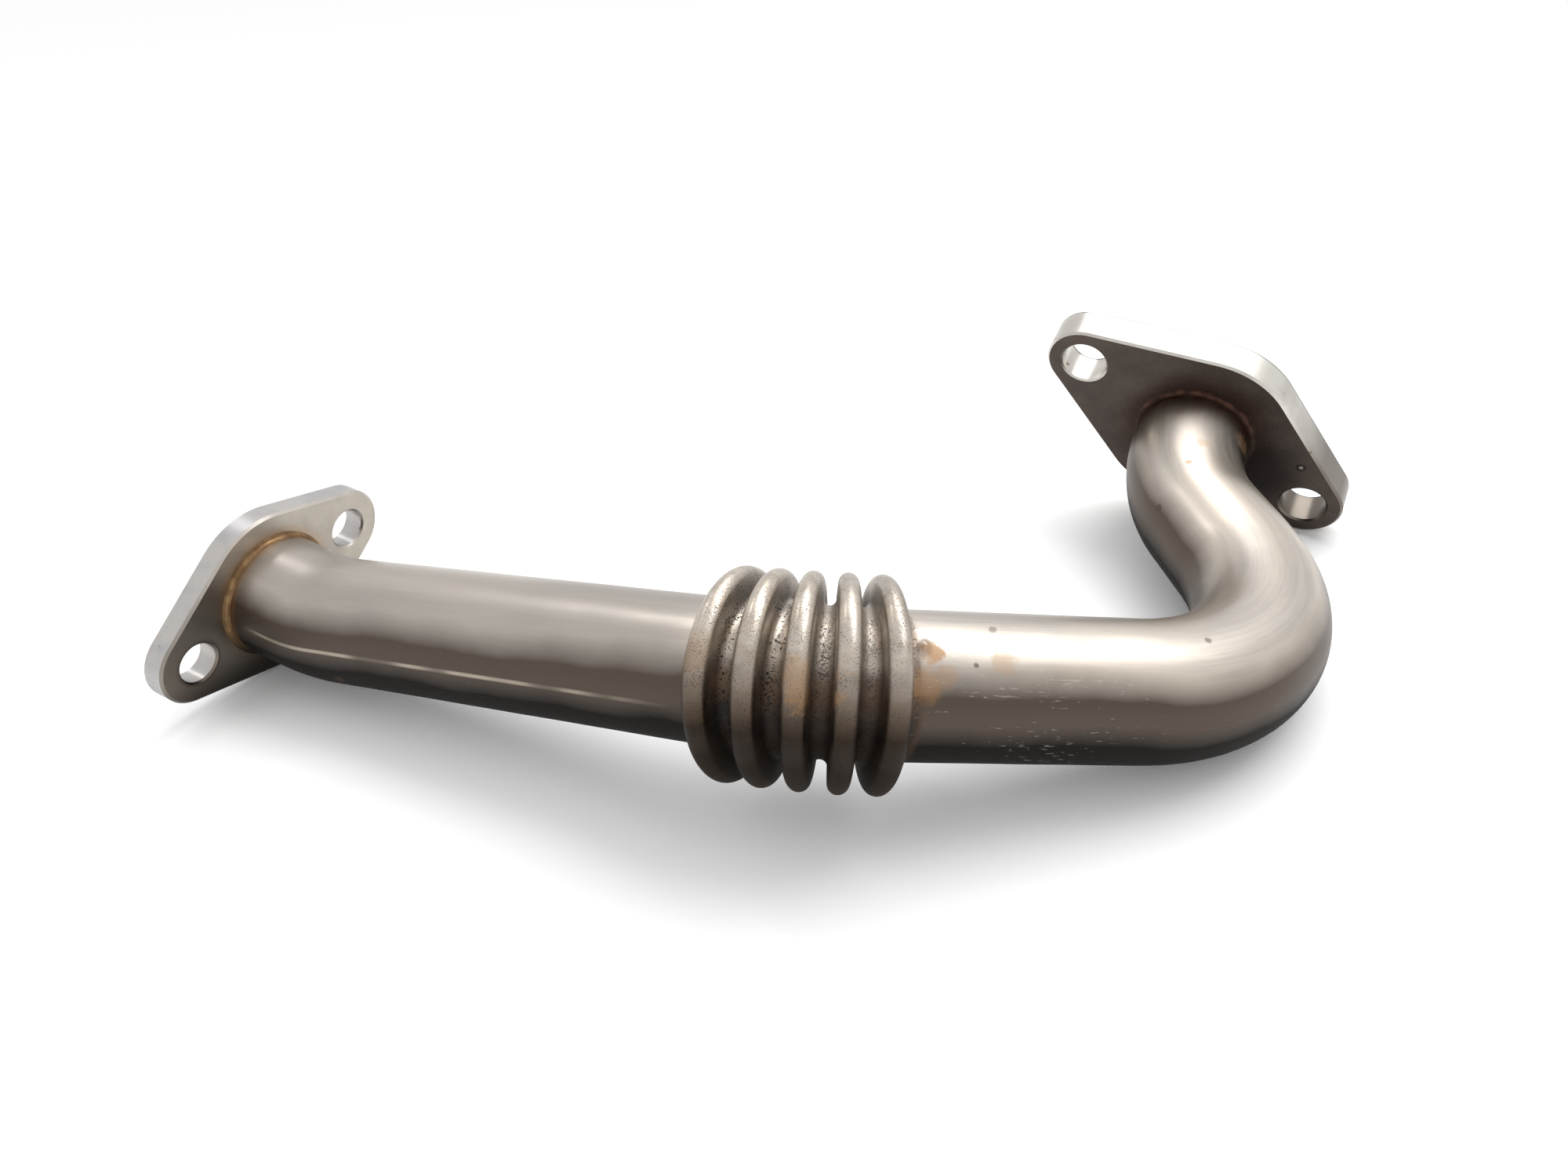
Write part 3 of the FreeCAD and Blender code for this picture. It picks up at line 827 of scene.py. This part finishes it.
def tube_finish(look, line, tube, folds):
    """Brushed steel with duller patches, painted shade on its sides and underside, heat tint,
    valley grime that is partly painted shade, and rust.
    """
    material, tree, shader = new_material("tube_skin_steel")
    at = TubePlace(tree, line, tube, folds)
    patches = noise(tree, drawn_out(tree, at.straight, (22, 75, 75)), 1.0, 4.0, 0.55)
    grain = shared(tree, "brushed_grain", Place=at.straight, Depth=0.10)
    colour = bare_steel(tree, look, at, patches, grain["Streaks"])
    colour = joint_tints(tree, look, at, tube, line, colour)
    colour, film_and_shade, pits = fold_dirt(tree, look, at, colour)
    rust = marks_mask(tree, at.straight, STAINS)
    # Light scratches along the tube
    drawn = drawn_out(tree, at.straight, (0.22, 1.0, 1.0))
    flecks = shared(tree, "specks", Place=drawn, Scale=2400.0, Threshold=0.66, Softness=0.05)
    scuffed = shared(tree, "stain", Place=at.straight, Centre=SCUFFED, Size=SCUFFED_SIZE,
                     Ragged=0.4)
    share = calc(tree, "MULTIPLY_ADD", scuffed["Mask"], 0.16, 0.015)
    colour = layered(
        tree, colour,
        (rust, look.rust),
        (marks_mask(tree, at.straight, DARK_MARKS), look.grime),
        (times(tree, flecks["Mask"], share), SCRATCHED))

    dirty = calc(tree, "MAXIMUM", calc(tree, "MAXIMUM", film_and_shade, pits), rust)
    matt = calc(tree, "MAXIMUM", dirty, at.under)
    rough = number_mix(tree, ramp(tree, patches, 0.3, 0.7), look.gloss, look.gloss + 0.12)
    rough = calc(tree, "ADD", rough, times(tree, grain["Streaks"], 0.08))
    hollows = times(tree, pits, -1.0)
    feed_named(tree, shader, Base_Color=colour, Roughness=number_mix(tree, matt, rough, 0.62),
               Metallic=rest_of(tree, times(tree, matt, 0.7)),
               Normal=bumps(tree, hollows, 0.6, 0.00015, Normal=grain["Normal"]),
               Specular_IOR_Level=number_mix(tree, at.under, 0.5, 0.08))
    return material


def bore_finish(look):
    """The sooty inside of the tube: dull black-brown with a little bare metal."""
    material, tree, shader = new_material("sooty_bore")
    cloud = noise(tree, coordinates(tree), 350.0, 6.0, 0.65)
    colour = colour_mix(tree, ramp(tree, cloud, 0.35, 0.75), look.soot, BORE_METAL)
    feed_named(tree, shader, Base_Color=colour, Roughness=ramp(tree, cloud, 0.3, 0.8, 0.9, 0.65),
               Metallic=ramp(tree, cloud, 0.5, 0.9, 0.1, 0.6),
               Normal=bumps(tree, cloud, 0.5, 0.0002))
    return material


class FlangePlace:
    """Sockets that tell where a point of a flange is, as seen from its seat and axes.

    `place` runs along the hole line, across it and off the face, `flat` leaves the last out, and
    `up` is 1 on the face, 0 on the edge and -1 on the far face.
    """

    def __init__(self, tree, seat, axes):
        turned = Matrix(axes).transposed().to_euler("XYZ")
        node = put(tree, "ShaderNodeMapping", Vector=coordinates(tree))
        node.vector_type = "TEXTURE"
        feed_named(tree, node, Location=seat, Rotation=turned)
        self.place = node.outputs[0]
        self.parts = split(tree, self.place)
        self.flat = drawn_out(tree, self.place, (1.0, 1.0, 0.0))
        self.normal = coordinates(tree, "Normal")
        self.up = vector_calc(tree, "DOT_PRODUCT", self.normal, tuple(axes[2]))
        self.on_seat = ramp(tree, self.up, 0.3, 0.9)

    def ring(self, tree, torn, outer, inner, strength):
        """A ragged ring of tint round the tube, on the face alone."""
        out = calc(tree, "ADD", vector_calc(tree, "LENGTH", self.flat), torn)
        return times(tree, ramp(tree, out, outer, inner, 0.0, strength), self.on_seat)

    def spot(self, tree, centre, outer, inner, strength):
        """A round shade on the face alone."""
        away = vector_calc(tree, "DISTANCE", self.flat, centre)
        return times(tree, ramp(tree, away, outer, inner, 0.0, strength), self.on_seat)


def small_flange_finish(look, seat, axes):
    """Satin machined steel, lighter round its edge, with a straw tint round the braze, painted
    shade towards one end and a painted shadow near the floor, and painted shade on its underside.
    """
    material, tree, shader = new_material("small_flange_steel")
    at = FlangePlace(tree, seat, axes)
    grain = shared(tree, "brushed_grain", Place=at.place, Depth=0.12,
                   Stretch=(700.0, 700.0, 2500.0))
    cloud = noise(tree, at.place, 95.0, 4.0, 0.6)
    face = colour_mix(tree, ramp(tree, cloud, 0.3, 0.7), *SMALL_FACE)
    edge = colour_mix(tree, ramp(tree, cloud, 0.35, 0.65), *SMALL_EDGE)
    torn = calc(tree, "MULTIPLY_ADD", cloud, 2.4 * MM, -1.2 * MM)
    # Painted shade towards one end along the hole line, a painted shadow near the floor, and
    # painted shade where the flange faces down
    dull = ramp(tree, at.parts["X"], -3.0 * MM, -26.0 * MM, 0.0, 0.72)
    floor_shadow = ramp(tree, split(tree, coordinates(tree))["Z"], 13.0 * MM, 3.0 * MM, 0.0, 0.92)
    under = shared(tree, "underside", Normal=at.normal, Place=at.place, Start=-0.1, Full=-1.0)
    specks = shared(tree, "specks", Place=at.place, Scale=1200.0, Threshold=0.74)
    colour = layered(
        tree, edge,
        (ramp(tree, at.up, 0.4, 0.9), face),
        (at.ring(tree, torn, 15.8 * MM, 13.2 * MM, 0.32), look.straw),
        # Painted shade towards one end, and a painted shadow near the floor
        (times(tree, dull, at.on_seat), SMALL_END_SHADE),
        (times(tree, floor_shadow, at.on_seat), SMALL_FLOOR_SHADOW),
        (at.spot(tree, NEAR_HOLE, 5.4 * MM, 4.2 * MM, 0.7), look.grime),
        # Painted shade where the flange faces down
        (times(tree, under["Mask"], 0.75), look.under),
        (times(tree, specks["Mask"], 0.5), look.grime))
    feed_named(tree, shader, Base_Color=colour, Metallic=1.0, Normal=grain["Normal"],
               Roughness=calc(tree, "MULTIPLY_ADD", cloud, 0.12, 0.30))
    return material


def large_flange_finish(look, seat, axes):
    """Slightly rough face, darkened partly by heat and partly by painted shade, with brown soot
    round the braze, a painted shadow beside the tube, and a bright edge with painted shade towards
    one end.
    """
    material, tree, shader = new_material("large_flange_steel")
    at = FlangePlace(tree, seat, axes)
    cloud = noise(tree, at.place, 85.0, 5.0, 0.6)
    # The face's dark colours are partly heat darkening and partly painted shade
    face = colour_mix(tree, ramp(tree, cloud, 0.3, 0.7), look.cast, LARGE_FACE)
    specks = shared(tree, "specks", Place=at.place, Scale=420.0, Threshold=0.71, Softness=0.05)
    edge = layered(
        tree, LARGE_EDGE[0],
        (ramp(tree, cloud, 0.35, 0.65), LARGE_EDGE[1]),
        (times(tree, specks["Mask"], 0.7), EDGE_RUST),
        # Painted shade towards one end of the edge
        (ramp(tree, at.parts["X"], -10.0 * MM, -27.0 * MM, 0.0, 0.9), EDGE_SHADE),
        (ramp(tree, at.parts["Z"], -7.1 * MM, -7.4 * MM, 0.0, 0.85), EDGE_REAR))
    on_face = ramp(tree, calc(tree, "ABSOLUTE", at.up), 0.75, 0.92)
    # The far bevel faces 135 degrees away from the face
    off_bevel = calc(tree, "ABSOLUTE", calc(tree, "ADD", at.up, 0.707))
    torn = calc(tree, "MULTIPLY_ADD", cloud, 6.0 * MM, -3.0 * MM)
    # Distance from the pip's middle, made large off the face
    pip = vector_calc(tree, "DISTANCE", at.flat, PIP)
    pip = calc(tree, "ADD", pip, ramp(tree, at.up, 0.9, 0.5))
    colour = layered(
        tree, edge,
        (on_face, face),
        (ramp(tree, at.up, -0.8, -0.95), FAR_FACE),
        (ramp(tree, off_bevel, 0.12, 0.06), FAR_BEVEL),
        (at.ring(tree, torn, 20.0 * MM, 13.0 * MM, 0.8), BRAZE_SOOT),
        # Painted shadow on the face beside the tube
        (at.spot(tree, NECK_SHADOW_MIDDLE, 13.0 * MM, 4.0 * MM, 0.75), NECK_SHADOW),
        # Painted shade ring and painted highlight of the pip
        (ramp(tree, pip, 1.4 * MM, 0.8 * MM, 0.0, 0.7), PIP_SHADE_RING),
        (ramp(tree, pip, 0.6 * MM, 0.35 * MM, 0.0, 0.8), PIP_HIGHLIGHT))
    raised = calc(tree, "MULTIPLY_ADD", ramp(tree, pip, 0.9 * MM, 0.1 * MM), 2.0,
                  noise(tree, at.place, 900.0, 4.0, 0.6))
    feed_named(tree, shader, Base_Color=colour, Roughness=number_mix(tree, on_face, 0.30, 0.55),
               Metallic=number_mix(tree, on_face, 1.0, 0.75),
               Normal=bumps(tree, raised, number_mix(tree, on_face, 0.1, 0.5), 0.0002))
    return material


def braze_finish(name, light, dark, low, high):
    """Braze metal, mottled between a light and a dark heat colour, with painted shade below a
    height.
    """
    material, tree, shader = new_material(name)
    place = coordinates(tree)
    cloud = noise(tree, place, 420.0, 5.0, 0.6)
    colour = colour_mix(tree, ramp(tree, cloud, 0.35, 0.65), light, dark)
    # Painted shade: darker towards the floor, below a height
    sooty = ramp(tree, split(tree, place)["Z"], high, low, 0.0, 0.9)
    colour = colour_mix(tree, sooty, colour, BRAZE_FOOT_SHADE)
    feed_named(tree, shader, Base_Color=colour, Roughness=ramp(tree, cloud, 0.3, 0.7, 0.38, 0.55),
               Metallic=0.9, Normal=bumps(tree, cloud, 0.5, 0.0002))
    return material


# Pieces and stage


def braze_points(seat, axes, inner, leg, phase):
    """A hollow-faced ring in the corner of tube and flange: a quarter circle dug out of a square.

    The leg along the flange and the tube grows and shrinks round the ring as a sum of sines.
    """
    phi = np.linspace(0, 2 * math.pi, BRAZE_AROUND, endpoint=False)
    waves = (np.sin(3 * phi + phase) + np.sin(7 * phi + 2 * phase)
             + 0.6 * np.sin(13 * phi + 3 * phase)) / 2.6
    reach = leg * (1 + BRAZE_WOBBLE * waves)
    arc = np.linspace(0, math.pi / 2, 9)
    in_tube, in_flange = BRAZE_SUNK
    out = np.r_[1 - BRAZE_HOLLOW * np.sin(arc), -in_tube, -in_tube, 1.0]
    off = np.r_[1 - BRAZE_HOLLOW * np.cos(arc), 1.0, -in_flange, -in_flange]
    radius = inner + out[:, None] * reach
    lift = off[:, None] * reach
    round_it = np.cos(phi)[:, None] * axes[0] + np.sin(phi)[:, None] * axes[1]
    return seat + radius[..., None] * round_it[None] + lift[..., None] * axes[2]


def small_seat(line, tube):
    """The small flange's seat and axes: the tube's start, and the depth that it stands in."""
    _, _, point, axes, *_ = line.pieces[0]
    return point + axes[2] * tube.depth, axes


def large_seat(line):
    """The large flange's seat and axes: the tube's end, less the depth that it stands in."""
    centre, one, two, ahead = line.at([line.length])
    first = one[0] * math.cos(LARGE_TURN) + two[0] * math.sin(LARGE_TURN)
    back = -ahead[0]
    return centre[0] + back * LARGE_DEPTH, np.stack([first, np.cross(back, first), back])


class PIPE_OT_form_tube(bpy.types.Operator):
    """Form the bent tube with its folds, in place of the plain solid"""

    bl_idname = "pipe.form_tube"
    bl_label = "Form the tube"

    def execute(self, context):
        scene = context.scene
        tube, folds, look = scene.tube_sizes, scene.fold_sizes, scene.steel_look
        line = TubeLine(tube, folds)
        points, straight, outward, inside = tube_points(tube, folds, line)
        mesh = grid_mesh("formed_tube", points, {"straight": straight, "outward": outward})
        skins = tube_finish(look, line, tube, folds), bore_finish(look)
        piece = new_piece("formed_tube", mesh, *skins)
        sooty = np.repeat(np.arange(len(points)) >= inside, tube.around)
        mesh.polygons.foreach_set("material_index", sooty.astype(np.int32))
        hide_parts("pipe")
        return {"FINISHED"}


class PIPE_OT_lay_braze(bpy.types.Operator):
    """Lay the two rings of braze that join the tube to its flanges"""

    bl_idname = "pipe.lay_braze"
    bl_label = "Lay the braze"

    def execute(self, context):
        tube, folds = context.scene.tube_sizes, context.scene.fold_sizes
        line = TubeLine(tube, folds)
        seats = {"small": small_seat(line, tube), "large": large_seat(line)}
        for which, (seat, axes) in seats.items():
            light, dark, low, high, phase = BRAZE[which]
            points = braze_points(seat, axes, tube.radius, BRAZE_LEG, phase)
            mesh = grid_mesh(f"{which}_braze_bead", points, {})
            metal = braze_finish(f"{which}_braze_metal", light, dark, low, high)
            piece = new_piece(f"{which}_braze_bead", mesh, metal)
            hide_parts(f"{which}_braze")
        return {"FINISHED"}


class PIPE_OT_finish_flanges(bpy.types.Operator):
    """Give the two flanges their steel finishes"""

    bl_idname = "pipe.finish_flanges"
    bl_label = "Finish the flanges"

    def execute(self, context):
        scene = context.scene
        line = TubeLine(scene.tube_sizes, scene.fold_sizes)
        for name, make, (seat, axes) in (
            ("small_flange", small_flange_finish, small_seat(line, scene.tube_sizes)),
            ("large_flange", large_flange_finish, large_seat(line)),
        ):
            material = make(scene.steel_look, seat, axes)
            for slot in frame["nodes"][name].material_slots:
                slot.material = material
        return {"FINISHED"}


# Each softbox: name, setting of its power, place, aim, width and height
LAMPS = (
    ("overhead_softbox", "key", (0.27, 0.22, 0.60), (0.05, 0.0, 0.02), 0.75, 0.40),
    ("side_softbox", "fill", (-0.355, 0.35, 0.60), (-0.10, 0.0, 0.02), 0.10, 0.10),
)
# How much of the softboxes' light falls on matt surfaces, so that the floor keeps a soft shadow
SOFTBOX_ON_MATT = 0.3
# Half the width of the floor
FLOOR_HALF = 3.0


class PIPE_OT_set_stage(bpy.types.Operator):
    """Set the pale floor, the soft lamps, the white surroundings and the camera"""

    bl_idname = "pipe.set_stage"
    bl_label = "Set the stage"

    def execute(self, context):
        scene, sizes = context.scene, context.scene.stage_sizes
        scene.view_settings.view_transform = "Standard"
        lay_floor(sizes)
        for name, power, place, target, width, height in LAMPS:
            hang_lamp(name, getattr(sizes, power), place, target, width, height)
        surround(scene, sizes)
        place_camera(scene, sizes)
        return {"FINISHED"}


def lay_floor(sizes):
    """A plain matt floor under the pipe, seen by the camera as white where it is fully lit."""
    half = FLOOR_HALF
    corners = [(-half, -half, 0), (half, -half, 0), (half, half, 0), (-half, half, 0)]
    mesh = bpy.data.meshes.new("floor")
    mesh.from_pydata(corners, [], [(0, 1, 2, 3)])
    material, tree, shader = new_material("matt_floor")
    cloud = noise(tree, coordinates(tree), 3.0, 2.0)
    seen = tree.nodes.new("ShaderNodeLightPath").outputs["Is Camera Ray"]
    white = colour_mix(tree, seen, sizes.floor, (1.0, 1.0, 1.0))
    colour = colour_mix(tree, ramp(tree, cloud, 0.3, 0.7, 0.0, 0.03), white, sizes.floor)
    feed_named(tree, shader, Base_Color=colour, Roughness=0.9, Specular_IOR_Level=0.0)
    mesh.materials.append(material)
    floor = bpy.data.objects.new("floor", mesh)
    bpy.context.scene.collection.objects.link(floor)


def hang_lamp(name, power, place, target, width, height):
    """A soft rectangular lamp that faces a target."""
    data = bpy.data.lights.new(name, "AREA")
    data.shape = "RECTANGLE"
    data.size, data.size_y, data.energy = width, height, power
    data.diffuse_factor = SOFTBOX_ON_MATT
    lamp = bpy.data.objects.new(name, data)
    lamp.location = place
    aim = Vector(target) - Vector(place)
    lamp.rotation_euler = aim.to_track_quat("-Z", "Y").to_euler()
    bpy.context.scene.collection.objects.link(lamp)


def surround(scene, sizes):
    """A white background for the camera and reflections, and a weaker light on dull surfaces."""
    world = bpy.data.worlds.new("white_surroundings")
    world.use_nodes = True
    tree = world.node_tree
    tree.nodes.clear()
    ray = tree.nodes.new("ShaderNodeLightPath").outputs
    seen = calc(tree, "MAXIMUM", ray["Is Glossy Ray"], ray["Is Transmission Ray"])
    seen = calc(tree, "MAXIMUM", ray["Is Camera Ray"], seen)
    light = put(tree, "ShaderNodeBackground", Color=(1.0, 1.0, 1.0),
                Strength=number_mix(tree, seen, sizes.ambient, 1.0))
    put(tree, "ShaderNodeOutputWorld", Surface=light.outputs[0])
    scene.world = world


def place_camera(scene, sizes):
    """The camera, from its place, the direction ahead of it and the picture's right side."""
    ahead = Vector(sizes.ahead).normalized()
    right = Vector(sizes.right).normalized()
    up = right.cross(ahead)
    data = bpy.data.cameras.new("camera")
    data.sensor_fit = "HORIZONTAL"
    data.sensor_width = 36.0
    data.lens = sizes.lens
    data.clip_start = 0.01
    camera = bpy.data.objects.new("camera", data)
    turned = Matrix((right, up, -ahead)).transposed().to_4x4()
    camera.matrix_world = Matrix.Translation(Vector(sizes.eye)) @ turned
    scene.collection.objects.link(camera)
    scene.camera = camera


class PIPE_PT_panel(bpy.types.Panel):
    """Sizes, colours and steps of the pipe"""

    bl_label = "Exhaust gas pipe"
    bl_idname = "PIPE_PT_panel"
    bl_space_type = "VIEW_3D"
    bl_region_type = "UI"
    bl_category = "Pipe"

    def draw(self, context):
        scene = context.scene
        for settings in (scene.tube_sizes, scene.fold_sizes, scene.steel_look, scene.stage_sizes):
            box = self.layout.box()
            for name in settings.__annotations__:
                box.prop(settings, name)
        for step in STEPS:
            self.layout.operator(step.bl_idname)


SETTINGS = (
    ("tube_sizes", TubeSizes),
    ("fold_sizes", FoldSizes),
    ("steel_look", SteelLook),
    ("stage_sizes", StageSizes),
)
STEPS = (PIPE_OT_set_stage, PIPE_OT_form_tube, PIPE_OT_lay_braze, PIPE_OT_finish_flanges)


def register():
    for name, kind in SETTINGS:
        bpy.utils.register_class(kind)
        setattr(bpy.types.Scene, name, PointerProperty(type=kind))
    for kind in (*STEPS, PIPE_PT_panel):
        bpy.utils.register_class(kind)


def unregister():
    for kind in (PIPE_PT_panel, *reversed(STEPS)):
        bpy.utils.unregister_class(kind)
    for name, kind in reversed(SETTINGS):
        delattr(bpy.types.Scene, name)
        bpy.utils.unregister_class(kind)


def main():
    """Make everything in order."""
    register()
    bpy.ops.pipe.set_stage()
    bpy.ops.pipe.form_tube()
    bpy.ops.pipe.lay_braze()
    bpy.ops.pipe.finish_flanges()


if __name__ == "__main__":
    main()
